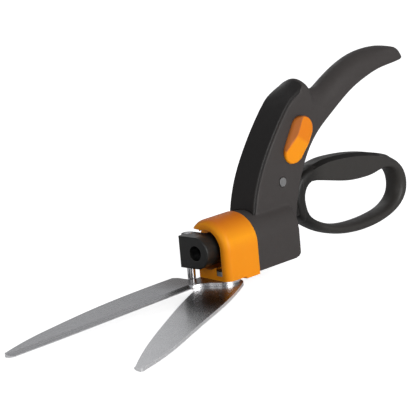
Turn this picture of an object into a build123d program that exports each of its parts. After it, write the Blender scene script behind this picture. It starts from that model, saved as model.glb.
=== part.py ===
"""Single-handed grass shears with a head that turns on the barrel.

Millimetres. +X points from the barrel to the blade tips, +Y to the side that carries the lock
button, +Z up. The origin is under the barrel's axis, on the plane where the head meets the barrel.
"""
from build123d import *
import os
from math import atan2, cos, degrees, hypot, radians, sin

os.makedirs("parts", exist_ok=True)

# ---- overall sizes
axis_z = 17.3             # height of the barrel's axis, which the head turns about
barrel_r = 16.5           # half width of the barrel and radius of its arched top
barrel_back = -38.6
barrel_front = -0.9
handle_half = 9.4         # half thickness of the handle above the barrel
handle_wall = 2.0
blade_length = 167.0      # from the pivot to the tip of either blade
blade_t = 1.9

# ---- clearances
slide_gap = 0.4           # between flat faces that slide past each other
turn_gap = 0.05           # radial, for a shaft in its hole
face_gap = 0.1            # between flat faces that turn on each other

# ---- squeeze lever
lever_pivot = (-35.2, 45.1)   # x and z of the pin that the lever swings on
lever_pin_r = 2.8
lever_swing = 22.0            # degrees, from released to fully squeezed
loop_half = 7.0               # half width of the finger loop
root_half = 5.5               # half width of the lever inside the handle
fork_half = handle_half - handle_wall - 0.3
fork_t = 1.9
fork_r = 3.8

# ---- drive rod and block
rod_r = 2.6
flange_r = 4.9
groove_w = 4.4
flange_t = 2.0
block_r = 9.4
block_front = 34.6
ear_y = -12.6                 # outer face of the block's square ear
screw_hole_r = 4.5
screw_hole_depth = 11.0

# ---- turning head
collar_r = 17.3
nose_round = 4.0              # rounding of the collar's front edge
collar_front = 26.3
collar_wall = 2.6
head_bore_r = 11.8
sleeve_r = 10.5
sleeve_bore_r = 6.2
sleeve_back = -22.0
sleeve_flange_t = 2.4         # flange that holds the sleeve against the collar's wall
bush_r = 12.0
bush_back = -12.0
bush_flange_r = 15.8
bush_flange_back = -1.5
ring_pocket_back = -25.0      # room behind the bush for the ring and the sleeve's end
ring_pocket_r = 13.0
ring_t = 1.2
ring_depth = 1.1              # depth of the sleeve's groove for the ring
detent_track_r = 14.0
detent_ball_r = 1.4
detent_ball_x = -0.65
detent_hole_back = -9.0

# ---- blades
pivot = (21.0, 9.9)           # x and y of the blade pivot
pivot_r = 3.0
drive_pin_r = 2.4
drive_pin_y = -11.6
drive_pin_x = 27.0            # with the lever released
ear_r = 3.9                   # boss of the block round the pin

# ---- worked out from the sizes above
arm = (lever_pivot[1] - axis_z) / cos(radians(lever_swing / 2))
half_stroke = arm * sin(radians(lever_swing / 2))
stroke = 2 * half_stroke
block_back = collar_wall + sleeve_flange_t + stroke + 0.5
spool_x = lever_pivot[0] + half_stroke
pin_reach = pivot[1] - drive_pin_y
blade_swing = degrees(
    atan2(drive_pin_x - pivot[0], pin_reach) + atan2(pivot[0] - drive_pin_x + stroke, pin_reach))
lower_top = -blade_t - face_gap
lower_bottom = lower_top - blade_t
print("stroke", round(stroke, 4), "blade swing", round(blade_swing, 3), "spool at", round(spool_x, 3))


def rod_x(x0, x1, radius, y=0.0, z=axis_z):
    """Round bar along X between two stations."""
    return Plane.YZ.offset(x0) * Pos(y, z) * extrude(Circle(radius), amount=x1 - x0)


def rod_z(z0, z1, radius, x, y):
    """Round bar along Z between two heights."""
    return Pos(x, y, z0) * extrude(Circle(radius), amount=z1 - z0)


def rod_y(y0, y1, radius, x, z):
    """Round bar along Y between two stations."""
    return Pos(x, y1, z) * Rot(90, 0, 0) * extrude(Circle(radius), amount=y1 - y0)


def block(low, high):
    """Box between two corners."""
    size = [b - a for a, b in zip(low, high)]
    middle = [(a + b) / 2 for a, b in zip(low, high)]
    return Pos(*middle) * Box(*size)


def side_plate(curves, half):
    """Plate of a side outline in X and Z, symmetric about the middle plane."""
    return extrude(Plane.XZ * make_face(curves), amount=half, both=True)


def closed_spline(points):
    """Smooth closed curve through the points."""
    return Spline(*points, periodic=True)


def arch(half_width, top_r, bottom):
    """Section of the barrel: round top about the axis, upright sides and a flat foot."""
    return make_face(Polyline((-top_r, axis_z), (-half_width, bottom), (half_width, bottom), (top_r, axis_z))
                     + ThreePointArc((top_r, axis_z), (0, axis_z + top_r), (-top_r, axis_z)))


def slot_bar(start, end, radius):
    """Flat bar outline with round ends, in X and Z."""
    length = hypot(end[0] - start[0], end[1] - start[1])
    angle = degrees(atan2(end[1] - start[1], end[0] - start[0]))
    middle = ((start[0] + end[0]) / 2, (start[1] + end[1]) / 2)
    return Plane.XZ * Pos(*middle) * Rot(0, 0, angle) * SlotCenterToCenter(length, 2 * radius)


# ---------------------------------------------------------------- handle
front_edge = [(-7.0, 31.0), (-9.2, 40.0), (-13.2, 50.0), (-22.4, 65.0), (-34.0, 79.5), (-48.0, 93.2),
              (-60.5, 101.4)]
saddle = [(-60.5, 101.4), (-63.8, 101.3), (-67.0, 97.8), (-71.5, 94.4), (-76.5, 93.2), (-81.0, 93.2),
          (-88.0, 96.0), (-103.0, 102.9), (-118.0, 107.3), (-132.0, 108.5), (-146.0, 107.3)]
tail_end = [(-146.0, 107.3), (-152.2, 105.2), (-155.6, 100.6), (-156.8, 97.2)]
underside = [(-156.8, 97.2), (-148.0, 96.3), (-135.0, 95.2), (-122.0, 92.4), (-108.0, 87.8), (-86.2, 76.4),
             (-68.7, 64.8), (-57.6, 51.0), (-51.0, 37.0), (-47.3, 24.0), (-46.0, 14.0)]
grip_round = 3.4              # rounding of the handle's long edges and the barrel's foot
cover_t = 2.4                 # thickness of the front cover
tongue_x = -54.5              # centre of the round end of the cover, seen from above
tongue_foot = 80.0            # well below the horn, so that only its top is rounded


def handle_side():
    """Side outline of the handle, from the barrel round the horn and the tail."""
    return (Spline(*front_edge) + Spline(*saddle) + Spline(*tail_end) + Spline(*underside)
            + Polyline((-46.0, 14.0), (-36.0, 14.0), (-7.0, 14.0), (-7.0, 31.0)))


def handle_plate(half):
    return side_plate(handle_side(), half)


cavity_side = [(-12.5, 33.0), (-17.0, 51.0), (-30.0, 68.5), (-46.0, 83.5), (-58.0, 84.0), (-62.0, 74.0),
               (-61.5, 63.0), (-75.0, 62.0), (-75.0, 9.0), (-24.0, 9.0), (-24.0, 33.0)]


def front_strip(half, depth):
    """Band over the front edge of the handle, from the barrel's round top to the round tongue at the horn."""
    proud = [(x + 4.0, z + 2.4) for x, z in front_edge]
    back = [(x - depth * 0.87, z - depth * 0.5) for x, z in front_edge]
    outline = (Spline(*proud) + Line(proud[-1], back[-1]) + Spline(*back[::-1])
               + Line(back[0], proud[0]))
    band = side_plate(outline, half) - rod_x(-40, 10, barrel_r)
    tongue = Pos(tongue_x, 0, tongue_foot) * extrude(Circle(handle_half), amount=30)
    ahead = block((tongue_x, -half, 0), (20, half, 130))
    below = block((-90, -half, 0), (20, half, tongue_foot))
    return band & (tongue + ahead + below)


def cover_clips():
    """Two tabs that press into the handle behind the cover."""
    half_width = handle_half - handle_wall - 1.5
    tabs = [Pos(x, 0, z) * Rot(0, -30, 0) * Box(6.0, 2 * half_width, 2.2)
            for x, z in ((-17.6, 47.4), (-38.4, 76.9))]
    return tabs[0] + tabs[1]


def front_cover():
    """Dark strip over the handle's open front, with a rounded tongue at the horn and two clips."""
    return (handle_plate(handle_half) & front_strip(handle_half, cover_t)) + cover_clips()


def handle_body():
    """Barrel and handle in one moulding, hollow round the lever, with the tail as thumb rest."""
    barrel_length = barrel_front - barrel_back
    barrel = Plane.YZ.offset(barrel_back) * extrude(arch(barrel_r, barrel_r, 0), amount=barrel_length)
    foot_edges = barrel.edges().filter_by(Axis.Y).group_by(Axis.X)[0].group_by(Axis.Z)[:1]
    barrel = fillet(foot_edges, grip_round)
    plate = handle_plate(handle_half)
    long_edges = [e for e in plate.edges() if abs(abs(e.center().Y) - handle_half) < 0.01 and e.length > 150]
    plate = fillet(long_edges, grip_round)
    body = barrel + plate
    inner = handle_half - handle_wall
    body -= side_plate(Polyline(*cavity_side, close=True), inner)
    body -= front_strip(handle_half + 1, cover_t)
    body -= cover_clips()
    body -= rod_x(bush_back, barrel_front + 1, bush_r)
    body -= rod_x(ring_pocket_back, bush_back, ring_pocket_r)
    body -= rod_x(bush_flange_back, barrel_front + 1, bush_flange_r)
    body -= rod_x(detent_hole_back, 0.0, detent_ball_r + 0.1, 0, axis_z - detent_track_r)
    body -= rod_y(-handle_half - 1, handle_half + 1, lever_pin_r, *lever_pivot)
    body -= lock_slot()
    return body


# ---------------------------------------------------------------- lock on the handle's side
lock_low = (-45.4, 61.6)      # centres of the button's two round ends, as locked down
lock_high = (-53.6, 73.8)
lock_r = 7.6
lock_height = 4.6
lock_travel = 5.0
stem_half = 3.0
lock_screw_r = 1.0
latch_t = 1.2
latch_y = handle_half - handle_wall - 0.3     # outer face of the latch plate, inside the wall


def lock_direction():
    length = hypot(lock_high[0] - lock_low[0], lock_high[1] - lock_low[1])
    return ((lock_high[0] - lock_low[0]) / length, (lock_high[1] - lock_low[1]) / length)


def lock_middle():
    return ((lock_low[0] + lock_high[0]) / 2, (lock_low[1] + lock_high[1]) / 2)


def shifted(point, distance):
    """Point moved along the lock's line."""
    ux, uz = lock_direction()
    return (point[0] + ux * distance, point[1] + uz * distance)


def between_y(section, y0, y1):
    """Solid of a face lying on the XZ plane, reaching between two stations of Y."""
    return Pos(0, y0, 0) * extrude(section, amount=-(y1 - y0))


def lock_slot():
    """Slot through the side wall that the button's stem runs in."""
    middle = lock_middle()
    start = shifted(middle, -stem_half)
    end = shifted(middle, stem_half + lock_travel)
    return between_y(slot_bar(start, end, stem_half + slide_gap), 0, handle_half + 1)


def lock_button():
    """Thumb slide with a bevelled edge and a stem through the wall."""
    y0 = handle_half + face_gap
    pad = between_y(slot_bar(lock_low, lock_high, lock_r), y0, y0 + lock_height)
    top = pad.faces().sort_by(Axis.Y)[-1]
    pad = chamfer(top.edges(), 1.6)
    low = shifted(lock_middle(), -stem_half)
    high = shifted(lock_middle(), stem_half)
    stem = between_y(slot_bar(low, high, stem_half), latch_y, y0)
    return pad + stem - rod_y(latch_y - 1, handle_half + 1.5, lock_screw_r, *lock_middle())


def lock_latch():
    """Steel plate inside the wall that the button carries towards the lever."""
    low = shifted(lock_middle(), -5.0)
    high = shifted(lock_middle(), 5.0)
    plate = between_y(slot_bar(low, high, 4.6), latch_y - latch_t, latch_y)
    return plate - rod_y(latch_y - 2, latch_y + 1, lock_screw_r, *lock_middle())


def lock_screw():
    """Screw that holds the latch plate against the button's stem."""
    head = rod_y(latch_y - latch_t - 1.4, latch_y - latch_t, 2.1, *lock_middle())
    return head + rod_y(latch_y - latch_t - 0.1, handle_half + 1.5, lock_screw_r, *lock_middle())


def lever_pivot_pin():
    """Riveted steel pin across the handle."""
    pin = rod_y(-handle_half, handle_half + 0.25, lever_pin_r, *lever_pivot)
    return chamfer(pin.edges().filter_by(GeomType.CIRCLE).sort_by(Axis.Y)[-1], 0.2)


# ---------------------------------------------------------------- squeeze lever
loop_outer = [(-50.2, 27.0), (-51.2, 37.5), (-56.5, 44.0), (-64.0, 46.8), (-76.0, 49.2), (-90.0, 49.3),
              (-105.0, 48.0), (-120.0, 45.5), (-133.0, 42.2), (-145.0, 37.6), (-153.5, 31.0), (-157.6, 22.0),
              (-156.3, 13.0), (-150.0, 6.3), (-140.0, 1.8), (-126.0, -1.1), (-111.0, -1.8), (-96.0, -0.6),
              (-82.0, 2.5), (-69.0, 7.6), (-58.5, 14.0), (-52.3, 19.5)]
loop_inner = [(-59.8, 27.0), (-61.0, 33.5), (-66.5, 37.6), (-75.5, 37.2), (-87.0, 34.6), (-100.0, 32.0),
              (-113.0, 31.0), (-126.0, 31.4), (-138.0, 31.6), (-145.0, 28.3), (-147.8, 21.5), (-146.6, 14.5),
              (-140.0, 9.0), (-128.0, 6.0), (-113.0, 5.1), (-98.0, 5.6), (-84.0, 8.2), (-71.0, 13.2),
              (-62.5, 19.5)]


root_side = [(-30.0, 49.5), (-37.0, 52.4), (-50.0, 47.6), (-58.0, 41.0), (-56.0, 22.0), (-46.5, 20.5),
             (-43.0, 33.0), (-36.0, 36.0), (-29.0, 40.5)]
lever_boss_r = 6.2
stud_r = 1.5


def finger_loop():
    """Rounded ring for the fingers."""
    ring = side_plate(closed_spline(loop_outer), loop_half)
    ring -= side_plate(closed_spline(loop_inner), loop_half + 1)
    return fillet(ring.edges(), 2.9)


def trigger_loop():
    """Finger loop, its root on the pivot pin, and the fork that straddles the drive rod."""
    tip = (spool_x, axis_z)
    root = fillet(side_plate(Polyline(*root_side, close=True), root_half).edges().filter_by(Axis.Y), 1.6)
    stem = extrude(slot_bar(lever_pivot, tip, fork_r), amount=fork_half, both=True)
    lean = degrees(atan2(tip[0] - lever_pivot[0], lever_pivot[1] - tip[1]))
    gap_inner = fork_half - fork_t
    stem -= Pos(tip[0], 0, tip[1]) * Rot(0, -lean, 0) * Box(30, 2 * gap_inner, 2 * 8.2)
    slim_length = 2 * (arm - 11.6)
    at_pivot = Pos(lever_pivot[0], 0, lever_pivot[1]) * Rot(0, -lean, 0)
    stem -= at_pivot * (Box(30, 60, slim_length) - Box(30, 2 * root_half, slim_length))
    lever = finger_loop() + root + stem + rod_y(-fork_half, fork_half, lever_boss_r, *lever_pivot)
    lever -= rod_y(-fork_half - 1, fork_half + 1, lever_pin_r + turn_gap, *lever_pivot)
    for side in (-1, 1):
        start, end = sorted((side * (gap_inner - 1), side * (fork_half + 1)))
        lever -= rod_y(start, end, stud_r, *tip)
    return lever


def fork_studs():
    """Two hard studs in the fork that run in the groove of the drive rod."""
    gap_inner = fork_half - fork_t
    studs = []
    for side in (-1, 1):
        start, end = sorted((side * (rod_r + 0.5), side * (gap_inner - 0.1)))
        stud = rod_y(start, end, groove_w / 2 - 0.15, spool_x, axis_z)
        start, end = sorted((side * (gap_inner - 0.2), side * fork_half))
        studs.append(stud + rod_y(start, end, stud_r, spool_x, axis_z))
    return Compound(children=studs)


# ---------------------------------------------------------------- drive line
shoulder_r = 3.6
shoulder_t = 1.4
block_screw_r = 1.5
block_floor = 3.0             # wall between the block's front hole and the rod
seat_t = 1.2
clip_t = 0.8
spring_wire_r = 0.6
spring_mean_r = 4.8
spring_turns = 5


def drive_rod():
    """Rod from the block to the spool that the fork pulls."""
    back = spool_x - groove_w / 2 - flange_t
    front = block_front - screw_hole_depth - block_floor
    bar = rod_x(back, front, rod_r)
    bar += rod_x(0.0, shoulder_t, shoulder_r)
    for start in (back, spool_x + groove_w / 2):
        bar += rod_x(start, start + flange_t, flange_r)
    bar -= rod_x(front - 9.0, front, block_screw_r)
    return bar


def drive_block():
    """Black block that carries the drive pin: round body, square ear and a deep screw hole."""
    front_face = Circle(block_r) + Pos(ear_y / 2, 0) * Rectangle(-ear_y, 2 * block_r)
    nose_back = drive_pin_x - 4.0
    nose = Plane.YZ.offset(nose_back) * Pos(0, axis_z) * extrude(front_face, amount=block_front - nose_back)
    nose = fillet(nose.faces().sort_by(Axis.X)[-1].edges(), 0.9)
    body = nose + rod_x(block_back, drive_pin_x, block_r)
    body += Pos(drive_pin_x, drive_pin_y, axis_z) * extrude(Circle(ear_r), amount=block_r, both=True)
    front = block_front - screw_hole_depth
    body -= rod_x(front, block_front + 1, screw_hole_r)
    body -= rod_x(block_back - 1, front - block_floor, rod_r)
    body -= rod_x(front - block_floor - 1, front + 1, block_screw_r)
    body -= rod_z(axis_z - block_r - 1, axis_z + block_r + 1, drive_pin_r, drive_pin_x, drive_pin_y)
    return body


def block_screw():
    """Screw deep in the block's front hole that ties the block to the rod."""
    front = block_front - screw_hole_depth
    head = rod_x(front, front + 3.0, 3.6)
    head -= Plane.YZ.offset(front + 1.2) * Pos(0, axis_z) * extrude(RegularPolygon(1.5, 6), amount=2.0)
    return head + rod_x(front - 11.5, front + 0.5, block_screw_r)


def drive_pin():
    """Upright pin from the block down through the lower blade's ear."""
    pin = rod_z(lower_bottom - 2.4, axis_z + block_r + 0.2, drive_pin_r, drive_pin_x, drive_pin_y)
    groove = Cylinder(drive_pin_r + 1, clip_t) - Cylinder(drive_pin_r - 0.5, clip_t)
    pin -= Pos(drive_pin_x, drive_pin_y, lower_bottom - 1.5) * groove
    return chamfer(pin.edges().sort_by(Axis.Z)[-1], 0.3)


def pin_clip():
    """Retaining clip on the foot of the drive pin."""
    clip = Cylinder(drive_pin_r + 1.8, clip_t) - Cylinder(drive_pin_r - 0.5, clip_t)
    clip -= Pos(0, -4, 0) * Box(2.4, 8, 2)
    return Pos(drive_pin_x, drive_pin_y, lower_bottom - 1.5) * clip


def spring_seat():
    """Washer that passes the return spring's push to the rod's shoulder."""
    return rod_x(-seat_t, 0, sleeve_bore_r - 0.3) - rod_x(-seat_t - 1, 1, rod_r)


def return_spring():
    """Coil spring round the rod that opens the blades again."""
    start = sleeve_back + 2.0 + spring_wire_r
    length = -seat_t - spring_wire_r - start
    coil = Helix(length / spring_turns, length, spring_mean_r)
    wire = sweep(Plane(origin=coil @ 0, z_dir=coil % 0) * Circle(spring_wire_r), path=coil)
    return Pos(start, 0, axis_z) * Rot(0, 90, 0) * wire


# ---------------------------------------------------------------- turning head
track_depth = 0.9             # round track for the detent ball in the collar's back face
skirt_length = 11.5
skirt_drop = 1.2
nose_slant = 8.0


def head_collar():
    """Orange collar: arched, with a slanted nose, open at the front and on the drive pin's side."""
    shell = Plane.YZ * extrude(arch(collar_r, collar_r, 0), amount=collar_front + 5)
    cut = Pos(collar_front, collar_r - 4, 0) * Rot(0, 0, -nose_slant) * block((0, -80, -5), (30, 20, 60))
    shell -= cut
    nose_face = shell.faces().sort_by(Axis.X)[-1]
    shell = fillet([e for e in nose_face.edges() if e.center().Z > 1], nose_round)
    skirt_section = Pos(0, -skirt_drop / 2) * Rectangle(2 * collar_r, skirt_drop)
    shell += Plane.YZ * extrude(skirt_section, amount=skirt_length)
    shell -= block((-1, -collar_r + 4, -5), (skirt_length + 1, collar_r - 4, 0))
    shell -= rod_x(collar_wall, collar_front + 5, head_bore_r)
    shell -= rod_x(-1, collar_wall + 1, sleeve_r)
    shell -= rod_x(-1, track_depth, detent_track_r + 1.6) - rod_x(-1, track_depth, detent_track_r - 1.6)
    back = drive_pin_x - ear_r - stroke - 1.0
    shell -= block((back, -30, axis_z - block_r - 0.6), (60, -6.0, axis_z + block_r + 1.6))
    shell -= block((back, -30, -5), (60, drive_pin_y + drive_pin_r + 0.5, axis_z))
    shell -= rod_z(-1, bolt_head_z, pivot_r, *pivot)
    shell -= rod_z(bolt_head_z, 20, 5.4, *pivot)
    for x, y in blade_screw_places:
        shell -= rod_z(-1, blade_screw_top, blade_screw_r, x, y)
    return shell


def swivel_sleeve():
    """Tube fixed in the collar that turns in the barrel and holds the return spring."""
    tube = rod_x(sleeve_back, collar_wall, sleeve_r)
    tube += rod_x(collar_wall, collar_wall + sleeve_flange_t, head_bore_r)
    tube -= rod_x(sleeve_back + 2.0, collar_wall + 3, sleeve_bore_r)
    tube -= rod_x(sleeve_back - 1, sleeve_back + 3, rod_r + turn_gap)
    front = bush_back - face_gap
    groove = rod_x(front - ring_t, front, sleeve_r + 1) - rod_x(front - ring_t, front, sleeve_r - ring_depth)
    return tube - groove


def retaining_ring():
    """Snap ring that keeps the sleeve in the barrel."""
    front = bush_back - face_gap
    ring = rod_x(front - ring_t, front, 12.3) - rod_x(front - ring_t - 1, front + 1, sleeve_r - ring_depth)
    return ring - block((front - 3, -2.5, axis_z + 5), (front + 1, 2.5, axis_z + 20))


def barrel_bush():
    """Flanged bearing bush pressed into the barrel."""
    bush = rod_x(bush_back, barrel_front, bush_r) + rod_x(bush_flange_back, -face_gap, bush_flange_r)
    bush -= rod_x(bush_back - 1, 1, sleeve_r + turn_gap)
    return bush - rod_x(-3, 1, detent_ball_r + 0.1, 0, axis_z - detent_track_r)


detent_wire_r = 0.32
detent_turns = 4


def detent_ball():
    return Pos(detent_ball_x, 0, axis_z - detent_track_r) * Sphere(detent_ball_r)


def detent_spring():
    """Small coil that pushes the ball into the collar's track."""
    start = detent_hole_back + 0.4 + detent_wire_r
    length = detent_ball_x - detent_ball_r - start - 0.3
    coil = Helix(length / detent_turns, length, 0.95)
    wire = sweep(Plane(origin=coil @ 0, z_dir=coil % 0) * Circle(detent_wire_r), path=coil)
    return Pos(start, 0, axis_z - detent_track_r) * Rot(0, 90, 0) * wire


# ---------------------------------------------------------------- blades
blade_screw_places = [(17.0, -4.4), (15.4, 3.0)]
blade_screw_r = 1.5
blade_screw_head_r = 2.9
blade_screw_top = 4.0
countersink = 1.4
bolt_head_z = 2.8             # underside of the pivot bolt's head, inside the collar
washer_t = 0.8
nut_t = 3.6
nut_corner_r = 5.6            # half the distance across the nut's corners
tang_edge = drive_pin_y + drive_pin_r + 0.8   # far edge of the upper blade beside the drive pin
bevel_w = 3.2
ear_edge = 5.0                # from the drive pin to the edge of the lower blade's ear
bevel_d = 1.3
upper_edge = [(40.0, 0.9), (85.0, 2.9), (143.0, 6.2), (pivot[0] + blade_length - 4.0, 7.6)]
lower_edge = [(40.0, -5.3), (64.0, -5.6), (91.0, -5.0), (121.0, -3.9), (151.0, -2.0),
              (pivot[0] + blade_length - 4.0, 2.0)]


def bevel(edge, side, face_z, drop):
    """Wedge to take off along a cutting edge; side is +1 or -1 in Y, drop is signed in Z."""
    sections = []
    for x, y in edge:
        slope = drop / bevel_w
        corners = [(y - side * bevel_w, face_z), (y + side * 1.0, face_z + slope * (bevel_w + 1.0)),
                   (y + side * 1.0, face_z - slope * 0.5), (y - side * bevel_w, face_z - slope * 0.5)]
        sections.append(Plane.YZ.offset(x) * make_face(Polyline(*corners, close=True)))
    return loft(sections, ruled=True)


def upper_outline():
    """Upper blade from above: spine, notch for the drive pin, tang, round heel and cutting edge."""
    tip_x = pivot[0] + blade_length
    spine = Spline((tip_x - 3.0, 1.6), (tip_x - 26.0, -6.0), (tip_x - 55.0, -12.3), (tip_x - 93.0, -18.6),
                   (60.0, -21.6), (32.0, -22.6))
    tang = Polyline((32.0, -22.6), (30.4, -19.5), (30.4, tang_edge), (12.2, tang_edge), (12.2, 12.0))
    heel = Spline((12.2, 12.0), (16.5, 16.0), (23.5, 16.2), (28.6, 12.4), (31.0, 7.2), (34.5, 3.4),
                  (40.0, 0.9))
    tip = ThreePointArc((tip_x - 4.0, 7.6), (tip_x, 5.0), (tip_x - 3.0, 1.6))
    return spine + tang + heel + Spline(*upper_edge) + tip


def lower_outline():
    """Lower blade from above, as closed: outer edge, heel, ear for the drive pin and cutting edge."""
    tip_x = pivot[0] + blade_length
    ear_x, ear_y0 = ear_centre()
    outer = Spline((tip_x - 3.5, 7.2), (tip_x - 34.5, 12.7), (110.0, 16.0), (67.0, 19.5), (24.0, 19.8))
    ear_back, ear_front = ear_x - ear_edge, ear_x + ear_edge
    heel = ThreePointArc((24.0, 19.8), (12.6, 15.0), (9.6, 4.0)) + Line((9.6, 4.0), (ear_back, ear_y0))
    ear = ThreePointArc((ear_back, ear_y0), (ear_x, ear_y0 - ear_edge), (ear_front, ear_y0))
    neck = Polyline((ear_front, ear_y0), (ear_front + 2.5, -8.0), (40.0, -5.3))
    tip = ThreePointArc((tip_x - 4.0, 2.0), (tip_x, 4.6), (tip_x - 3.5, 7.2))
    return outer + heel + ear + neck + Spline(*lower_edge) + tip


def ear_centre():
    """Place of the drive pin in the closed lower blade."""
    return (drive_pin_x - stroke, drive_pin_y)


def upper_blade():
    """Fixed blade, flat on the collar's foot, with its bevel on top."""
    blade = Pos(0, 0, -blade_t) * extrude(make_face(upper_outline()), amount=blade_t)
    blade -= bevel(upper_edge + [(pivot[0] + blade_length + 2.0, 7.8)], 1, 0, -bevel_d)
    blade -= rod_z(-blade_t - 1, 1, pivot_r, *pivot)
    for x, y in blade_screw_places:
        blade -= rod_z(-blade_t - 1, 1, blade_screw_r, x, y)
        blade -= Pos(x, y, -blade_t) * extrude(Circle(blade_screw_head_r), amount=countersink, taper=45)
    return blade


def lower_blade():
    """Moving blade on the pivot bolt, with a slot in its ear for the drive pin."""
    blade = Pos(0, 0, lower_bottom) * extrude(make_face(lower_outline()), amount=blade_t)
    blade -= bevel(lower_edge + [(pivot[0] + blade_length + 2.0, 2.6)], -1, lower_bottom, bevel_d)
    blade -= rod_z(lower_bottom - 1, lower_top + 1, pivot_r + turn_gap, *pivot)
    ear = ear_centre()
    lean = degrees(atan2(ear[1] - pivot[1], ear[0] - pivot[0]))
    reach = hypot(ear[0] - pivot[0], ear[1] - pivot[1])
    slot_section = SlotCenterToCenter(reach - pin_reach + 0.6, 2 * (drive_pin_r + 0.35))
    along_ear = Rot(0, 0, lean) * Pos((reach + pin_reach) / 2, 0)
    blade -= Pos(pivot[0], pivot[1], lower_bottom - 1) * along_ear * extrude(slot_section, amount=blade_t + 2)
    return Pos(pivot[0], pivot[1], 0) * Rot(0, 0, blade_swing) * Pos(-pivot[0], -pivot[1], 0) * blade


def pivot_bolt():
    """Bolt through collar and blades, its head inside the collar."""
    bolt = rod_z(lower_bottom - 5.2, bolt_head_z, pivot_r, *pivot) + rod_z(bolt_head_z, 5.4, 5.1, *pivot)
    bolt -= Pos(pivot[0], pivot[1], 4.0) * extrude(RegularPolygon(2.3, 6), amount=2)
    return bolt


def pivot_washer():
    """Washer between the lower blade and its nut."""
    top = lower_bottom - face_gap
    return rod_z(top - washer_t, top, 6.0, *pivot) - rod_z(top - 2, top + 1, pivot_r, *pivot)


def pivot_nut():
    """Lock nut under the lower blade."""
    top = lower_bottom - face_gap - washer_t
    nut = Pos(pivot[0], pivot[1], top - nut_t) * extrude(RegularPolygon(nut_corner_r, 6), amount=nut_t)
    dome = Pos(pivot[0], pivot[1], top - nut_t) * extrude(Circle(6.2), amount=nut_t)
    nut = nut & chamfer(dome.edges().sort_by(Axis.Z)[0], 0.9)
    return nut - rod_z(top - 5, top + 1, pivot_r, *pivot)


def blade_screws():
    """Two countersunk screws that hold the upper blade to the collar."""
    screws = []
    for x, y in blade_screw_places:
        head = Pos(x, y, -blade_t) * extrude(Circle(blade_screw_head_r), amount=countersink, taper=45)
        head -= Pos(x, y, -blade_t) * extrude(RegularPolygon(1.1, 6), amount=0.8)
        screws.append(head + rod_z(-blade_t + 1.0, blade_screw_top, blade_screw_r, x, y))
    return Compound(children=screws)


makers = [handle_body, front_cover, lever_pivot_pin, barrel_bush, detent_ball, detent_spring,
          lock_button, lock_latch, lock_screw,
          trigger_loop, fork_studs,
          drive_rod, drive_block, block_screw, drive_pin, pin_clip, spring_seat, return_spring,
          head_collar, swivel_sleeve, retaining_ring, upper_blade, pivot_bolt, pivot_washer, pivot_nut,
          blade_screws, lower_blade]

for maker in makers:
    export_step(maker(), f"parts/{maker.__name__}.step")
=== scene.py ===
import bpy
import bmesh
import math
from mathutils import Matrix, Vector
from mathutils.bvhtree import BVHTree


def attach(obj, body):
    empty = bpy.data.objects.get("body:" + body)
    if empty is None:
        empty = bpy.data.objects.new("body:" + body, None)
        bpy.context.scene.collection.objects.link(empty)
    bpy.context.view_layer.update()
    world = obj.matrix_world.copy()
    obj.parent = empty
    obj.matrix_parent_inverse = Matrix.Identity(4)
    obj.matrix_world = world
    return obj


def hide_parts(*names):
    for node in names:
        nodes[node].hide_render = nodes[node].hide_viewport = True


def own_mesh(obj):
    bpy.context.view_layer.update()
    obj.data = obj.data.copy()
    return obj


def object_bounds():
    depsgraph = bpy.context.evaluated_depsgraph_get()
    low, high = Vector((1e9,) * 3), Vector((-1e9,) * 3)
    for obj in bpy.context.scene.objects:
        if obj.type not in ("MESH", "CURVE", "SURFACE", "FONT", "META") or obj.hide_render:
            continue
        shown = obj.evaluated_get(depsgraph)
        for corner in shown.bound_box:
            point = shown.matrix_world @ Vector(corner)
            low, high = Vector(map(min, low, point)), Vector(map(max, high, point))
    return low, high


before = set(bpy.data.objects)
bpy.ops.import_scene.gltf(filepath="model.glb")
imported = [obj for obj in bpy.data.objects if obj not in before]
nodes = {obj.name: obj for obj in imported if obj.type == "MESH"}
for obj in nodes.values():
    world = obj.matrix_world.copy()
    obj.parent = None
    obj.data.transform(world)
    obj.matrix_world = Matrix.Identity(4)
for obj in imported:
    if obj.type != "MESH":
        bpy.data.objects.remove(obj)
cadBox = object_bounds()
print("frame loaded:", len(nodes), "nodes")


# camera
cameraSet = {
    "azimuth": 133.571,      # degrees, 0 looks along +Y
    "elevation": 12.294,
    "roll": -5.182,
    "distance": 1.29145,     # metres from the aim point
    "aim": Vector((0.020941, 0.0, 0.041424)),
    "lens": 195.59,
    "sensor": 36.0,
}


def addCamera(s):
    az, el, roll = (math.radians(s[k]) for k in ("azimuth", "elevation", "roll"))
    back = Vector((math.sin(az) * math.cos(el), -math.cos(az) * math.cos(el), math.sin(el)))
    level = Vector((math.cos(az), math.sin(az), 0.0))
    upright = back.cross(level)
    right = math.cos(roll) * level + math.sin(roll) * upright
    up = -math.sin(roll) * level + math.cos(roll) * upright
    data = bpy.data.cameras.new("studioCamera")
    data.lens = s["lens"]
    data.sensor_width = s["sensor"]
    camera = bpy.data.objects.new("studioCamera", data)
    turn = Matrix((right, up, back)).transposed().to_4x4()
    camera.matrix_world = Matrix.Translation(s["aim"] + back * s["distance"]) @ turn
    bpy.context.scene.collection.objects.link(camera)
    bpy.context.scene.camera = camera


addCamera(cameraSet)
print("camera placed")


# floor and light
studio = {
    "floorSize": 9.0,
    "floorDrop": 0.0005,          # gap under the lowest point of the shears
    "floorColor": (0.80, 0.80, 0.80, 1.0),
    "floorGlow": 0.80,            # added to what the camera sees of the paper, not to the light
    "skyTop": (0.20, 0.20, 0.205, 1.0),
    "skyLow": (0.34, 0.34, 0.35, 1.0),
}
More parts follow.
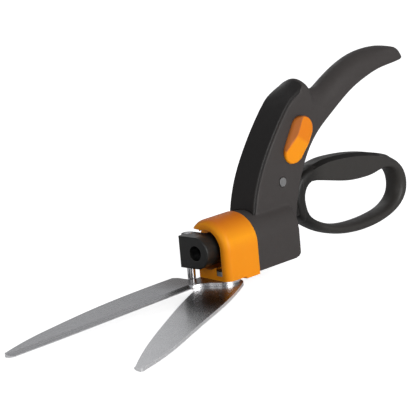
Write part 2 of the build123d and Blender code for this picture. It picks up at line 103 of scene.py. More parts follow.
# name, place, aim, width, height, watts
softBoxes = [
    ("keyBox", (0.05, 1.60, 0.55), (-0.03, 0.0, 0.04), 1.0, 1.0, 19.0),
    ("noseBox", (1.45, 0.35, 0.75), (0.02, 0.0, 0.02), 0.7, 0.7, 3.5),
    ("topBox", (0.1, -0.2, 1.6), (0.0, 0.0, 0.0), 1.2, 1.2, 1.0),
    ("backBox", (-0.9, -1.4, 0.9), (-0.05, 0.0, 0.05), 0.8, 0.8, 2.5),
]


def addFloor(s, lowest):
    mesh = bpy.data.meshes.new("floor")
    work = bmesh.new()
    bmesh.ops.create_grid(work, x_segments=6, y_segments=6, size=s["floorSize"] / 2)
    work.to_mesh(mesh)
    work.free()
    floor = bpy.data.objects.new("floor", mesh)
    floor.location = (0.0, 0.0, lowest - s["floorDrop"])
    bpy.context.scene.collection.objects.link(floor)
    material = bpy.data.materials.new("floorPaper")
    material.use_nodes = True
    shader = material.node_tree.nodes["Principled BSDF"]
    shader.inputs["Base Color"].default_value = s["floorColor"]
    shader.inputs["Roughness"].default_value = 0.9
    shader.inputs["Specular IOR Level"].default_value = 0.1
    shader.inputs["Emission Color"].default_value = (1.0, 1.0, 1.0, 1.0)
    links = material.node_tree.links
    seen = material.node_tree.nodes.new("ShaderNodeLightPath")
    glow = material.node_tree.nodes.new("ShaderNodeMath")
    glow.operation = "MULTIPLY"
    links.new(seen.outputs["Is Camera Ray"], glow.inputs[0])
    glow.inputs[1].default_value = s["floorGlow"]
    links.new(glow.outputs[0], shader.inputs["Emission Strength"])
    mesh.materials.append(material)


def addSoftBox(name, place, aim, width, height, watts):
    data = bpy.data.lights.new(name, "AREA")
    data.shape = "RECTANGLE"
    data.size = width
    data.size_y = height
    data.energy = watts
    light = bpy.data.objects.new(name, data)
    light.location = place
    light.rotation_euler = (Vector(aim) - Vector(place)).to_track_quat("-Z", "Y").to_euler()
    bpy.context.scene.collection.objects.link(light)


def addSky(s):
    world = bpy.data.worlds.new("studioSky")
    world.use_nodes = True
    tree = world.node_tree
    split = tree.nodes.new("ShaderNodeSeparateXYZ")
    ramp = tree.nodes.new("ShaderNodeMix")
    ramp.data_type = "RGBA"
    ramp.inputs[6].default_value = s["skyLow"]
    ramp.inputs[7].default_value = s["skyTop"]
    tree.links.new(tree.nodes.new("ShaderNodeTexCoord").outputs["Generated"], split.inputs[0])
    tree.links.new(split.outputs["Z"], ramp.inputs["Factor"])
    tree.links.new(ramp.outputs[2], tree.nodes["Background"].inputs["Color"])
    bpy.context.scene.world = world


addFloor(studio, cadBox[0][2])
addSky(studio)
for box in softBoxes:
    addSoftBox(*box)
bpy.context.scene.view_settings.view_transform = "Standard"
print("floor and lights placed")


# node groups shared by the finishes
def newGroup(name, inputs, outputs):
    group = bpy.data.node_groups.new(name, "ShaderNodeTree")
    for title, kind, value in inputs:
        socket = group.interface.new_socket(name=title, in_out="INPUT", socket_type=kind)
        socket.default_value = value
    for title, kind in outputs:
        group.interface.new_socket(name=title, in_out="OUTPUT", socket_type=kind)
    return group, group.nodes.new("NodeGroupInput"), group.nodes.new("NodeGroupOutput")


def addNode(tree, kind, **settings):
    node = tree.nodes.new(kind)
    for key, value in settings.items():
        setattr(node, key, value)
    return node


def addMath(tree, operation, first, second=None, clamp=False):
    node = addNode(tree, "ShaderNodeMath", operation=operation, use_clamp=clamp)
    for socket, value in zip(node.inputs, (first, second)):
        if value is None:
            continue
        if isinstance(value, (int, float)):
            socket.default_value = value
        else:
            tree.links.new(value, socket)
    return node.outputs[0]


def addNoise(tree, vector, scale, detail, rough=0.5):
    noise = addNode(tree, "ShaderNodeTexNoise")
    noise.inputs["Detail"].default_value = detail
    noise.inputs["Roughness"].default_value = rough
    tree.links.new(vector, noise.inputs["Vector"])
    if isinstance(scale, (int, float)):
        noise.inputs["Scale"].default_value = scale
    else:
        tree.links.new(scale, noise.inputs["Scale"])
    return noise.outputs["Fac"]


def buildWearGroup():
    # how much an edge is rubbed: rounded normal against the true one, broken up by noise
    group, given, result = newGroup(
        "edgeWear",
        [("Radius", "NodeSocketFloat", 0.0008), ("Amount", "NodeSocketFloat", 1.0),
         ("Breakup", "NodeSocketFloat", 900.0)],
        [("Mask", "NodeSocketFloat")])
    links = group.links
    bevel = addNode(group, "ShaderNodeBevel", samples=6)
    links.new(given.outputs["Radius"], bevel.inputs["Radius"])
    geometry = addNode(group, "ShaderNodeNewGeometry")
    dot = addNode(group, "ShaderNodeVectorMath", operation="DOT_PRODUCT")
    links.new(bevel.outputs["Normal"], dot.inputs[0])
    links.new(geometry.outputs["Normal"], dot.inputs[1])
    bend = addMath(group, "SUBTRACT", 1.0, dot.outputs["Value"], clamp=True)
    coords = addNode(group, "ShaderNodeTexCoord")
    broken = addNoise(group, coords.outputs["Object"], given.outputs["Breakup"], 4.0, 0.65)
    spread = addMath(group, "MULTIPLY", bend, 9.0, clamp=True)
    patchy = addMath(group, "MULTIPLY", spread, broken)
    links.new(addMath(group, "MULTIPLY", patchy, given.outputs["Amount"], clamp=True), result.inputs["Mask"])
    return group


def buildGrainGroup():
    # moulded plastic: fine spark-eroded grain, slow colour drift and a little handling shine
    group, given, result = newGroup(
        "mouldedGrain",
        [("Grain Size", "NodeSocketFloat", 2600.0), ("Drift", "NodeSocketFloat", 0.08),
         ("Rough Low", "NodeSocketFloat", 0.42), ("Rough High", "NodeSocketFloat", 0.58)],
        [("Height", "NodeSocketFloat"), ("Tone", "NodeSocketFloat"), ("Roughness", "NodeSocketFloat")])
    links = group.links
    coords = addNode(group, "ShaderNodeTexCoord").outputs["Object"]
    fine = addNoise(group, coords, given.outputs["Grain Size"], 3.0, 0.6)
    cells = addNode(group, "ShaderNodeTexVoronoi")
    links.new(coords, cells.inputs["Vector"])
    links.new(given.outputs["Grain Size"], cells.inputs["Scale"])
    links.new(addMath(group, "ADD", fine, addMath(group, "MULTIPLY", cells.outputs["Distance"], 0.5)),
              result.inputs["Height"])
    slow = addNoise(group, coords, 38.0, 5.0, 0.55)
    swing = addMath(group, "MULTIPLY", addMath(group, "SUBTRACT", slow, 0.5), given.outputs["Drift"])
    links.new(addMath(group, "ADD", 1.0, swing), result.inputs["Tone"])
    spread = addNode(group, "ShaderNodeMapRange")
    links.new(addNoise(group, coords, 120.0, 6.0, 0.6), spread.inputs["Value"])
    spread.inputs["From Min"].default_value = 0.35
    spread.inputs["From Max"].default_value = 0.65
    links.new(given.outputs["Rough Low"], spread.inputs["To Min"])
    links.new(given.outputs["Rough High"], spread.inputs["To Max"])
    links.new(spread.outputs["Result"], result.inputs["Roughness"])
    return group


def buildGroundGroup():
    # steel ground across its length: long fine lines, with cloudy patches in the polish
    group, given, result = newGroup(
        "groundLines",
        [("Along", "NodeSocketVector", (20.0, 2600.0, 400.0)), ("Cloud Size", "NodeSocketFloat", 16.0)],
        [("Lines", "NodeSocketFloat"), ("Clouds", "NodeSocketFloat")])
    links = group.links
    coords = addNode(group, "ShaderNodeTexCoord").outputs["Object"]
    stretch = addNode(group, "ShaderNodeVectorMath", operation="MULTIPLY")
    links.new(coords, stretch.inputs[0])
    links.new(given.outputs["Along"], stretch.inputs[1])
    links.new(addNoise(group, stretch.outputs["Vector"], 1.0, 3.0, 0.6), result.inputs["Lines"])
    links.new(addNoise(group, coords, given.outputs["Cloud Size"], 4.0, 0.55), result.inputs["Clouds"])
    return group


edgeWear = buildWearGroup()
mouldedGrain = buildGrainGroup()
groundLines = buildGroundGroup()
print("node groups built")


# finishes
def useGroup(tree, group, **values):
    node = addNode(tree, "ShaderNodeGroup", node_tree=group)
    for title, value in values.items():
        node.inputs[title.replace("_", " ")].default_value = value
    return node


def mixColor(tree, mask, first, second, blend="MIX"):
    node = addNode(tree, "ShaderNodeMix", data_type="RGBA", blend_type=blend)
    for socket, value in ((node.inputs["Factor"], mask), (node.inputs[6], first), (node.inputs[7], second)):
        if isinstance(value, (int, float, tuple)):
            socket.default_value = value
        else:
            tree.links.new(value, socket)
    return node.outputs[2]


def facingShadeRamp(tree, stops):
    # painted shade: colour by how far the surface faces up (1) or down (-1), standing in for the light each
    # way gets
    split = addNode(tree, "ShaderNodeSeparateXYZ")
    tree.links.new(addNode(tree, "ShaderNodeTexCoord").outputs["Normal"], split.inputs[0])
    place = addNode(tree, "ShaderNodeMapRange")
    tree.links.new(split.outputs["Z"], place.inputs["Value"])
    place.inputs["From Min"].default_value = -1.0
    ramp = addNode(tree, "ShaderNodeValToRGB")
    tree.links.new(place.outputs["Result"], ramp.inputs["Fac"])
    marks = ramp.color_ramp.elements
    while len(marks) < len(stops):
        marks.new(0.5)
    for mark, (up, color) in zip(marks, stops):
        mark.position = (up + 1.0) / 2.0
        mark.color = color
    return ramp.outputs["Color"]


def frontShade(tree, color, s):
    # painted shade: darker towards the front, where the loop's neck goes into the grip and lies in shadow
    split = addNode(tree, "ShaderNodeSeparateXYZ")
    tree.links.new(addNode(tree, "ShaderNodeTexCoord").outputs["Object"], split.inputs[0])
    fade = addNode(tree, "ShaderNodeMapRange", interpolation_type="SMOOTHSTEP")
    tree.links.new(split.outputs["X"], fade.inputs["Value"])
    fade.inputs["From Min"].default_value = s["from"]
    fade.inputs["From Max"].default_value = s["to"]
    return mixColor(tree, fade.outputs["Result"], color, s["color"])


def plasticFinish(name, s):
    material = bpy.data.materials.new(name)
    material.use_nodes = True
    tree = material.node_tree
    shader = tree.nodes["Principled BSDF"]
    grain = useGroup(tree, mouldedGrain, Grain_Size=s["grainSize"], Drift=s["drift"],
                     Rough_Low=s["rough"][0], Rough_High=s["rough"][1])
    wear = useGroup(tree, edgeWear, Radius=s["edge"], Amount=s["wear"], Breakup=s["breakup"])
    tone = addNode(tree, "ShaderNodeHueSaturation")
    tone.inputs["Color"].default_value = s["color"]
    # painted shade: the colour is set by which way the surface faces
    if "shadeByFacing" in s:
        tree.links.new(facingShadeRamp(tree, s["shadeByFacing"]), tone.inputs["Color"])
    # painted shade: darker towards the loop's front
    if "frontShade" in s:
        tree.links.new(frontShade(tree, s["color"], s["frontShade"]), tone.inputs["Color"])
    tree.links.new(grain.outputs["Tone"], tone.inputs["Value"])
    worn = mixColor(tree, wear.outputs["Mask"], tone.outputs["Color"], s["wornColor"])
    tree.links.new(worn, shader.inputs["Base Color"])
    tree.links.new(grain.outputs["Roughness"], shader.inputs["Roughness"])
    shader.inputs["Specular IOR Level"].default_value = s["specular"]
    if s["skin"]:
        shader.inputs["Subsurface Weight"].default_value = s["skin"]
        shader.inputs["Subsurface Scale"].default_value = 0.002
        shader.inputs["Subsurface Radius"].default_value = (1.0, 0.35, 0.1)
    bump = addNode(tree, "ShaderNodeBump")
    bump.inputs["Strength"].default_value = s["bump"]
    bump.inputs["Distance"].default_value = s["depth"]
    tree.links.new(grain.outputs["Height"], bump.inputs["Height"])
    tree.links.new(bump.outputs["Normal"], shader.inputs["Normal"])
    return material


def paintedHeelReflection(tree, color, s):
    # painted reflection: the steel is coloured darker round one point, where it reflects the dark grip and
    # head, and lighter further along the blade
    reach = addNode(tree, "ShaderNodeVectorMath", operation="DISTANCE")
    tree.links.new(addNode(tree, "ShaderNodeTexCoord").outputs["Object"], reach.inputs[0])
    reach.inputs[1].default_value = s["place"]
    fade = addNode(tree, "ShaderNodeMapRange", interpolation_type="SMOOTHSTEP")
    tree.links.new(reach.outputs["Value"], fade.inputs["Value"])
    fade.inputs["From Min"].default_value = s["near"]
    fade.inputs["From Max"].default_value = s["far"]
    return mixColor(tree, fade.outputs["Result"], s["color"], color)


def bevelPolishAndHighlight(tree, color, bevel):
    # the ground bevels and edges, which aren't level, are polished, and are coloured near white against the
    # dark flats: real polish with a painted highlight
    split = addNode(tree, "ShaderNodeSeparateXYZ")
    tree.links.new(addNode(tree, "ShaderNodeTexCoord").outputs["Normal"], split.inputs[0])
    level = addMath(tree, "ABSOLUTE", split.outputs["Z"])
    fade = addNode(tree, "ShaderNodeMapRange")
    tree.links.new(level, fade.inputs["Value"])
    fade.inputs["From Min"].default_value = 0.94
    fade.inputs["From Max"].default_value = 0.985
    return mixColor(tree, fade.outputs["Result"], bevel, color)


def steelFinish(name, s):
    material = bpy.data.materials.new(name)
    material.use_nodes = True
    tree = material.node_tree
    shader = tree.nodes["Principled BSDF"]
    ground = useGroup(tree, groundLines, Along=s["along"], Cloud_Size=s["cloudSize"])
    wear = useGroup(tree, edgeWear, Radius=s["edge"], Amount=s["wear"], Breakup=s["breakup"])
    cloudy = mixColor(tree, ground.outputs["Clouds"], s["dark"], s["light"])
    lined = mixColor(tree, ground.outputs["Lines"], cloudy, s["light"])
    # painted reflection and painted highlight: a dark patch round the heel, then near-white bevels
    if "heel" in s:
        lined = bevelPolishAndHighlight(tree, paintedHeelReflection(tree, lined, s["heel"]), s["bevel"])
    tree.links.new(mixColor(tree, wear.outputs["Mask"], lined, s["wornColor"]), shader.inputs["Base Color"])
    shader.inputs["Metallic"].default_value = 1.0
    rough = addNode(tree, "ShaderNodeMapRange")
    tree.links.new(ground.outputs["Lines"], rough.inputs["Value"])
    rough.inputs["From Min"].default_value = 0.3
    rough.inputs["From Max"].default_value = 0.7
    rough.inputs["To Min"].default_value = s["rough"][0]
    rough.inputs["To Max"].default_value = s["rough"][1]
    tree.links.new(rough.outputs["Result"], shader.inputs["Roughness"])
    bump = addNode(tree, "ShaderNodeBump")
    bump.inputs["Strength"].default_value = s["bump"]
    bump.inputs["Distance"].default_value = s["depth"]
    tree.links.new(ground.outputs["Lines"], bump.inputs["Height"])
    tree.links.new(bump.outputs["Normal"], shader.inputs["Normal"])
    return material


plastics = {
    "greyGrip": {
        "color": (0.050, 0.044, 0.042, 1), "wornColor": (0.16, 0.15, 0.145, 1), "rough": (0.48, 0.62),
        "grainSize": 2600.0, "drift": 0.10, "specular": 0.32, "skin": 0.0, "bump": 0.35, "depth": 0.00012,
        "edge": 0.0009, "wear": 0.8, "breakup": 700.0},
    "blackStrip": {
        "color": (0.014, 0.0125, 0.012, 1), "wornColor": (0.16, 0.15, 0.14, 1), "rough": (0.42, 0.55),
        "grainSize": 2600.0, "drift": 0.12, "specular": 0.35, "skin": 0.0, "bump": 0.35, "depth": 0.00012,
        "edge": 0.0008, "wear": 1.0, "breakup": 700.0},
    "blackLoop": {
        "color": (0.034, 0.031, 0.028, 1), "wornColor": (0.10, 0.095, 0.09, 1), "rough": (0.40, 0.54),
        "grainSize": 2600.0, "drift": 0.12, "specular": 0.38, "skin": 0.0, "bump": 0.3, "depth": 0.00012,
        "edge": 0.0008, "wear": 0.9, "breakup": 700.0,
        # painted shade: the loop is coloured darker towards its front
        "frontShade": {"from": -0.078, "to": -0.060, "color": (0.009, 0.008, 0.007, 1)}},
    # painted shade: a darker black for the pad's upward bevel faces
    "loopBevelShade": {
        "color": (0.008, 0.007, 0.006, 1), "wornColor": (0.06, 0.055, 0.05, 1), "rough": (0.42, 0.56),
        "grainSize": 2600.0, "drift": 0.12, "specular": 0.30, "skin": 0.0, "bump": 0.3, "depth": 0.00012,
        "edge": 0.0008, "wear": 0.3, "breakup": 700.0},
    "blackBlock": {
        "color": (0.011, 0.011, 0.010, 1), "wornColor": (0.10, 0.10, 0.095, 1), "rough": (0.30, 0.42),
        "grainSize": 3200.0, "drift": 0.10, "specular": 0.45, "skin": 0.0, "bump": 0.2, "depth": 0.0001,
        "edge": 0.0006, "wear": 0.8, "breakup": 1100.0},
    "orangeHead": {
        "color": (1.0, 0.315, 0.005, 1), "wornColor": (1.0, 0.52, 0.10, 1), "rough": (0.40, 0.52),
        "grainSize": 2900.0, "drift": 0.06, "specular": 0.22, "skin": 0.06, "bump": 0.2, "depth": 0.0001,
        "edge": 0.0007, "wear": 0.55, "breakup": 700.0,
        # painted shade and light: the collar is coloured darker where it faces down and on its top, brightest
        # where it faces out
        "shadeByFacing": [(-1.0, (0.80, 0.20, 0.004, 1)), (-0.1, (0.94, 0.29, 0.004, 1)),
                     (0.35, (1.0, 0.36, 0.004, 1)), (0.95, (0.68, 0.17, 0.006, 1))]},
    "orangeButton": {
        "color": (1.0, 0.30, 0.005, 1), "wornColor": (1.0, 0.50, 0.10, 1), "rough": (0.42, 0.54),
        "grainSize": 2900.0, "drift": 0.05, "specular": 0.22, "skin": 0.06, "bump": 0.2, "depth": 0.0001,
        "edge": 0.0006, "wear": 0.5, "breakup": 800.0,
        # painted shade: the button's downward ramp is coloured brightest, its flat top darker and its upward
        # front flank darkest
        "shadeByFacing": [(-0.14, (1.0, 0.33, 0.005, 1)), (-0.06, (0.86, 0.235, 0.006, 1)),
                     (0.12, (0.86, 0.235, 0.006, 1)), (0.34, (0.44, 0.125, 0.018, 1))]},
}
steels = {
    # painted dark reflection: the upper blade's steel is coloured darker than the lower blade's
    "upperSteel": {
        "dark": (0.12, 0.12, 0.124, 1), "light": (0.225, 0.228, 0.238, 1), "wornColor": (0.85, 0.85, 0.86, 1),
        "along": (60.0, 3200.0, 900.0), "cloudSize": 30.0, "rough": (0.22, 0.34), "bump": 0.06,
        "depth": 0.00003, "edge": 0.0005, "wear": 0.9, "breakup": 900.0,
        # painted reflection: a dark patch round the upper blade's heel
        "heel": {"place": (0.034, -0.010, 0.0), "near": 0.004, "far": 0.026,
                 "color": (0.06, 0.052, 0.05, 1)},
        # near-white bevel colour: polish with a painted highlight
        "bevel": (0.95, 0.95, 0.96, 1)},
    "lowerSteel": {
        "dark": (0.27, 0.27, 0.28, 1), "light": (0.42, 0.425, 0.435, 1), "wornColor": (0.85, 0.85, 0.86, 1),
        "along": (900.0, 2600.0, 900.0), "cloudSize": 30.0, "rough": (0.22, 0.34), "bump": 0.06,
        "depth": 0.00003, "edge": 0.0005, "wear": 0.9, "breakup": 900.0,
        # painted reflection: a dark patch round the lower blade's heel
        "heel": {"place": (0.046, 0.030, -0.002), "near": 0.006, "far": 0.044,
                 "color": (0.035, 0.025, 0.022, 1)},
        # near-white bevel colour: polish with a painted highlight
        "bevel": (0.95, 0.95, 0.96, 1)},
    "pinSteel": {
        "dark": (0.62, 0.62, 0.63, 1), "light": (0.82, 0.82, 0.83, 1), "wornColor": (0.9, 0.9, 0.9, 1),
        "along": (900.0, 900.0, 4000.0), "cloudSize": 90.0, "rough": (0.08, 0.16), "bump": 0.06,
        "depth": 0.00003, "edge": 0.0003, "wear": 0.5, "breakup": 1200.0},
    "zincSteel": {
        "dark": (0.26, 0.26, 0.26, 1), "light": (0.42, 0.42, 0.42, 1), "wornColor": (0.6, 0.6, 0.6, 1),
        "along": (1500.0, 1500.0, 1500.0), "cloudSize": 160.0, "rough": (0.32, 0.46), "bump": 0.15,
        "depth": 0.00004, "edge": 0.0004, "wear": 0.8, "breakup": 1200.0},
    "springWire": {
        "dark": (0.16, 0.16, 0.17, 1), "light": (0.30, 0.30, 0.31, 1), "wornColor": (0.5, 0.5, 0.5, 1),
        "along": (2200.0, 2200.0, 2200.0), "cloudSize": 200.0, "rough": (0.26, 0.4), "bump": 0.1,
        "depth": 0.00003, "edge": 0.0002, "wear": 0.6, "breakup": 1500.0},
}
finish = {name: plasticFinish(name, s) for name, s in plastics.items()}
finish.update({name: steelFinish(name, s) for name, s in steels.items()})
print("finishes made:", len(finish))


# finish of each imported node
wears = {
    "greyGrip": ["handle_body"],
    "blackStrip": ["front_cover", "barrel_bush", "swivel_sleeve"],
    "blackLoop": ["trigger_loop"],
    "blackBlock": ["drive_block"],
    "orangeHead": ["head_collar"],
    "orangeButton": ["lock_button"],
    "upperSteel": ["upper_blade"],
    "lowerSteel": ["lower_blade"],
    "pinSteel": ["drive_pin"],
    "zincSteel": ["lever_pivot_pin", "fork_studs", "lock_latch", "lock_screw", "pivot_bolt", "pivot_washer",
                  "pivot_nut", "blade_screws", "drive_rod", "block_screw", "spring_seat", "detent_ball"],
    "springWire": ["retaining_ring", "pin_clip", "return_spring", "detent_spring"],
}
for name, members in wears.items():
    for member in members:
        mesh = nodes[member].data
        mesh.materials.clear()
        mesh.materials.append(finish[name])
print("nodes finished")


# mesh helpers
def meshPiece(name, work, material, body, replaced):
    mesh = bpy.data.meshes.new(name)
    bmesh.ops.recalc_face_normals(work, faces=work.faces)
    work.to_mesh(mesh)
    work.free()
    for face in mesh.polygons:
        face.use_smooth = True
    mesh.materials.append(finish[material])
    piece = bpy.data.objects.new(name, mesh)
    bpy.context.scene.collection.objects.link(piece)
    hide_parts(replaced)
    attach(piece, body)
    return piece


def applyModifiers(piece):
    bpy.context.view_layer.update()
    graph = bpy.context.evaluated_depsgraph_get()
    done = bpy.data.meshes.new_from_object(piece.evaluated_get(graph))
    piece.modifiers.clear()
    piece.data = done


def remeshed(name, node, voxel):
    # an even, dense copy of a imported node, which can be shaped by moving its points
    piece = bpy.data.objects.new(name, nodes[node].data.copy())
    bpy.context.scene.collection.objects.link(piece)
    remesh = piece.modifiers.new("even", "REMESH")
    remesh.mode = "VOXEL"
    remesh.voxel_size = voxel
    applyModifiers(piece)
    return piece


def ease(x, low, high):
    t = min(max((x - low) / (high - low), 0.0), 1.0)
    return t * t * (3.0 - 2.0 * t)


horn = {
    "crownFrom": -0.044,      # x where the horn's crown starts, and where it is full
    "crownFull": -0.063,
    "low": 0.082,             # z where it starts, and where it is full
    "high": 0.095,
    "halfWidth": 0.0094,
    "fall": 0.0042,           # how far the horn's edges fall below its middle
    "behindFull": -0.064,     # x where the crown fades again, behind the horn's top
    "behindEnd": -0.072,
}


def crownHorn(mesh, s):
    for v in mesh.vertices:
        amount = (1.0 - ease(v.co.x, s["crownFull"], s["crownFrom"])) * ease(v.co.z, s["low"], s["high"])
        amount *= ease(v.co.x, s["behindEnd"], s["behindFull"])
        across = min(abs(v.co.y) / s["halfWidth"], 1.0)
        v.co.z -= amount * s["fall"] * across * across


# grip: the tail is rounded over the top, and stays crisp towards the barrel
grip = {
    "voxel": 0.00075,
    "halfWidth": 0.0094,
    "roundFrom": -0.0640,     # where the rounding starts, behind the horn's top
    "roundFull": -0.0710,
    "endFrom": -0.128,        # where it fades again towards the tail's end
    "endFull": -0.152,
    "endRound": 0.30,
    "shoulder": 0.42,         # height on the section from which the top is rounded
    "slices": 110,            # heights of the section are measured on this many stations
    "tableSpare": 0.006,      # and this far in front of the rounding
}


def heightTable(mesh, s):
    # lowest and highest point of the grip's middle at even steps along it
    low = min(v.co.x for v in mesh.vertices)
    high = s["roundFrom"] + s["tableSpare"]
    step = (high - low) / s["slices"]
    table = [[1.0, -1.0] for _ in range(s["slices"] + 1)]
    for v in mesh.vertices:
        if abs(v.co.y) > 0.5 * s["halfWidth"] or v.co.x > high:
            continue
        row = table[min(int((v.co.x - low) / step), s["slices"])]
        row[0] = min(row[0], v.co.z)
        row[1] = max(row[1], v.co.z)
    return low, step, table


def readTable(x, low, step, table):
    place = min(max((x - low) / step - 0.5, 0.0), len(table) - 1.001)
    index = int(place)
    share = place - index
    first, second = table[index], table[index + 1]
    if second[1] < second[0]:
        second = first
    if first[1] < first[0]:
        first = second
    return [a + (b - a) * share for a, b in zip(first, second)]


def shapeGrip(s):
    piece = remeshed("grip_shell", "handle_body", s["voxel"])
    mesh = piece.data
    crownHorn(mesh, horn)
    low, step, table = heightTable(mesh, s)
    for v in mesh.vertices:
        x, y, z = v.co
        amount = 1.0 - ease(x, s["roundFull"], s["roundFrom"])
        amount *= s["endRound"] + (1.0 - s["endRound"]) * ease(x, s["endFull"], s["endFrom"])
        if amount <= 0.0:
            continue
        bottom, top = readTable(x, low, step, table)
        middle = bottom + (top - bottom) * s["shoulder"]
        if z <= middle:
            continue
        across = max(min(y / s["halfWidth"], 1.0), -1.0)
        rise = min((z - middle) / (top - middle), 1.0)
        v.co.y = y * math.sqrt(1.0 - amount * rise * rise / 2.0)
        v.co.z = middle + (z - middle) * math.sqrt(1.0 - amount * across * across / 2.0)
    smooth = piece.modifiers.new("ease", "CORRECTIVE_SMOOTH")
    smooth.iterations = 3
    smooth.use_only_smooth = True
    applyModifiers(piece)
    for face in piece.data.polygons:
        face.use_smooth = True
    piece.data.materials.clear()
    piece.data.materials.append(finish["greyGrip"])
    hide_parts("handle_body")
    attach(piece, "handle")


shapeGrip(grip)
print("grip shaped")


# front strip: flat below, its tongue crowned across the horn
strip = {
    "voxel": 0.00045,
    "smooth": 2,
}


def shapeStrip(s):
    piece = remeshed("front_strip", "front_cover", s["voxel"])
    crownHorn(piece.data, horn)
    smooth = piece.modifiers.new("ease", "CORRECTIVE_SMOOTH")
    smooth.iterations = s["smooth"]
    smooth.use_only_smooth = True
    applyModifiers(piece)
    for face in piece.data.polygons:
        face.use_smooth = True
    piece.data.materials.clear()
    piece.data.materials.append(finish["blackStrip"])
    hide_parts("front_cover")
    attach(piece, "handle")


shapeStrip(strip)
print("front strip shaped")


# finger loop: round ring whose top bar widens into a flat pad on each side
loop = {
    "center": Vector((-0.1035, 0.0195)),   # x and z of the middle of the opening
    "halfWidth": 0.0070,
    "stations": 120,
    "corners": 9,                          # points along each quarter of a section
    "roundPower": 2.3,                     # superellipse of the plain ring
    "padPower": 9.0,                       # and of the pad, nearly square
    "padFrom": -0.1315,                    # x where the pad starts and ends
    "padTo": -0.0680,
    "padFade": 0.006,
    "bevelDrop": 0.0024,                   # bevel along the pad's top edge
    "topHalf": 0.0038,
    "shadeAbove": 0.036,                  # z above which the bevel faces are coloured darker, as painted shade
    "sharpAngle": 28.0,
    "cutX": -0.0560,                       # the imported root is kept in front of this
    "frontOuter": -0.0506,                 # x of the ring's front, inside the grip
}


def castRing(node, s):
    # inner and outer distance of the ring from the middle of its opening, all the way round
    tree = bvhOf(node)
    found = []
    for i in range(s["stations"]):
        angle = 2.0 * math.pi * i / s["stations"]
        way = Vector((math.cos(angle), 0.0, math.sin(angle)))
        start = Vector((s["center"].x, 0.0, s["center"].y))
        inner = tree.ray_cast(start, way)[3]
        outer = tree.ray_cast(start + way * (inner + 0.0001), way)[3] + inner + 0.0001
        limit = (s["frontOuter"] - s["center"].x) / way.x if way.x > 0.3 else 1.0
        found.append([angle, inner, min(outer, limit)])
    for _ in range(3):
        widths = [row[2] for row in found]
        for i, row in enumerate(found):
            row[2] = (widths[i - 1] + 2 * widths[i] + widths[(i + 1) % len(found)]) / 4
    return found


def bvhOf(node):
    work = bmesh.new()
    work.from_mesh(nodes[node].data)
    tree = BVHTree.FromBMesh(work)
    work.free()
    return tree


def sectionPoint(turn, power):
    c, s = math.cos(turn), math.sin(turn)
    return (math.copysign(abs(c) ** (2.0 / power), c), math.copysign(abs(s) ** (2.0 / power), s))


def makeLoop(s):
    work = bmesh.new()
    around = 4 * s["corners"]
    rings = []
    for angle, inner, outer in castRing("trigger_loop", s):
        way = Vector((math.cos(angle), math.sin(angle)))
        middle, half = (inner + outer) / 2, (outer - inner) / 2
        x = s["center"].x + way.x * middle
        pad = 0.0
        if way.y > 0:
            pad = ease(x, s["padFrom"] - s["padFade"], s["padFrom"] + s["padFade"])
            pad *= 1.0 - ease(x, s["padTo"] - s["padFade"], s["padTo"] + s["padFade"])
        power = s["roundPower"] + (s["padPower"] - s["roundPower"]) * pad
        ring = []
        for k in range(around):
            out, across = sectionPoint(2 * math.pi * (k + 0.5) / around, power)
            at = s["center"] + way * (middle + half * out)
            over = max(middle + half * out - (outer - s["bevelDrop"]), 0.0) / s["bevelDrop"]
            y = across * s["halfWidth"]
            limit = s["halfWidth"] * (1.0 - over) + s["topHalf"] * over
            if over > 0.0 and abs(y) > limit:
                y += pad * (math.copysign(limit, y) - y)
            ring.append(work.verts.new((at.x, y, at.y)))
        rings.append(ring)
    for i, ring in enumerate(rings):
        following = rings[(i + 1) % len(rings)]
        for k in range(around):
            j = (k + 1) % around
            work.faces.new((ring[k], ring[j], following[j], following[k]))
    root = bmesh.new()
    root.from_mesh(nodes["trigger_loop"].data)
    bmesh.ops.remove_doubles(root, verts=root.verts, dist=1e-6)
    everything = root.verts[:] + root.edges[:] + root.faces[:]
    cut = bmesh.ops.bisect_plane(root, geom=everything, plane_co=(s["cutX"], 0, 0), plane_no=(-1, 0, 0),
                                 clear_outer=True)
    rim = [e for e in cut["geom_cut"] if isinstance(e, bmesh.types.BMEdge)]
    bmesh.ops.holes_fill(root, edges=rim, sides=0)
    rootMesh = bpy.data.meshes.new("lever_root")
    root.to_mesh(rootMesh)
    root.free()
    work.from_mesh(rootMesh)
    piece = meshPiece("finger_lever", work, "blackLoop", "lever", "trigger_loop")
    piece.data.materials.append(finish["loopBevelShade"])
    # painted shade: the pad's upward bevel faces get the darker black
    for face in piece.data.polygons:
        inPad = s["padFrom"] < face.center.x < s["padTo"] and face.center.z > s["shadeAbove"]
        if inPad and 0.3 < face.normal.z < 0.93 and face.center.y > 0.0:
            face.material_index = 1
    markSharp(piece.data, s["sharpAngle"])


def markSharp(mesh, degrees):
    work = bmesh.new()
    work.from_mesh(mesh)
    for edge in work.edges:
        if len(edge.link_faces) == 2 and edge.calc_face_angle(0.0) > math.radians(degrees):
            edge.smooth = False
    work.to_mesh(mesh)
    work.free()


makeLoop(loop)
print("finger loop made")


# lock button: flat above a ridge, with a ramp below it and a bevelled flank at the front
button = {
    "low": Vector((-0.0454, 0.0616)),     # x and z of the lower round end's centre
    "high": Vector((-0.0536, 0.0738)),
    "radius": 0.0076,
    "foot": 0.00945,                      # y of the face it slides on
    "rise": 0.0046,
    "rampEnd": 0.0013,                    # rise at the end of the ramp
    "ridge": 0.55,                        # where the ridge crosses, as a share of the length
    "backFall": 0.0004,                   # how far the far end is below the ridge
    "flankFoot": 0.0012,                  # rise of the bevelled front flank at its outer edge
    "flankSlope": 0.95,
    "around": 120,
    "edgeRings": [(0.00008, 0.0009), (0.0003, 0.00025), (0.0006, 0.00004)],   # inset and drop
    "ringStep": 0.00034,
    "core": 0.00005,                      # width that is left for the middle face
}


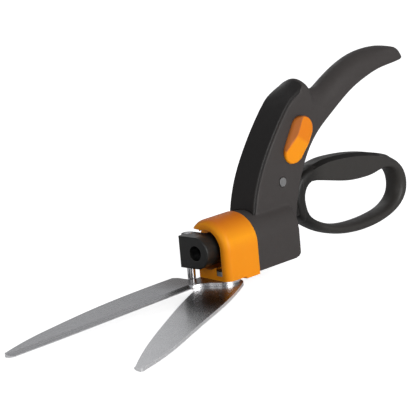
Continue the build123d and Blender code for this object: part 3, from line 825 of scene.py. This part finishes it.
def buttonRise(along, front, s):
    # along runs from 0 at the low end of the button to 1 at the high end, front is its distance to the front
    if along < s["ridge"]:
        rise = s["rampEnd"] + (s["rise"] - s["rampEnd"]) * along / s["ridge"]
    else:
        rise = s["rise"] - s["backFall"] * (along - s["ridge"]) / (1.0 - s["ridge"])
    return min(rise, s["flankFoot"] + s["flankSlope"] * front)


def makeButton(s):
    work = bmesh.new()
    axis = (s["high"] - s["low"])
    length = axis.length
    axis.normalize()
    side = Vector((axis.y, -axis.x))
    full = length + 2 * s["radius"]

    def ring(inset, drop):
        made = []
        radius = s["radius"] - inset
        straight = 7
        outline = []
        half = s["around"] // 2 - straight
        for end, start in ((s["high"], 0.0), (s["low"], math.pi)):
            for i in range(half + 1):
                angle = start + math.pi * i / half
                outline.append(end + side * radius * math.cos(angle) + axis * radius * math.sin(angle))
            first = outline[-1]
            last = (s["low"] if start == 0.0 else s["high"]) + side * radius * (-1 if start == 0.0 else 1)
            for i in range(1, straight):
                outline.append(first.lerp(last, i / straight))
        for point in outline:
            along = ((point - s["low"]).dot(axis) + s["radius"]) / full
            front = s["radius"] - (point - s["low"]).dot(side)
            y = s["foot"] + (0.0 if drop is None else buttonRise(along, front, s) - drop)
            made.append(work.verts.new((point.x, y, point.y)))
        return made

    rings = [ring(0.0, None)] + [ring(inset, drop) for inset, drop in s["edgeRings"]]
    edge = s["edgeRings"][-1][0]
    reach = s["radius"] - edge - s["core"]
    count = round(reach / s["ringStep"])
    rings += [ring(edge + reach * k / count, 0.0) for k in range(1, count + 1)]
    for first, second in zip(rings, rings[1:]):
        for i in range(len(first)):
            j = (i + 1) % len(first)
            work.faces.new((first[i], first[j], second[j], second[i]))
    work.faces.new(rings[-1])
    work.faces.new(list(reversed(rings[0])))
    meshPiece("lock_slider", work, "orangeButton", "lock", "lock_button")


makeButton(button)
print("button made")


def makeCoil():
    piece = bpy.data.objects.new("return_coil", nodes["return_spring"].data.copy())
    bpy.context.scene.collection.objects.link(piece)
    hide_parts("return_spring")
    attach(piece, "head")
    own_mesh(piece)


makeCoil()
print("return spring made")
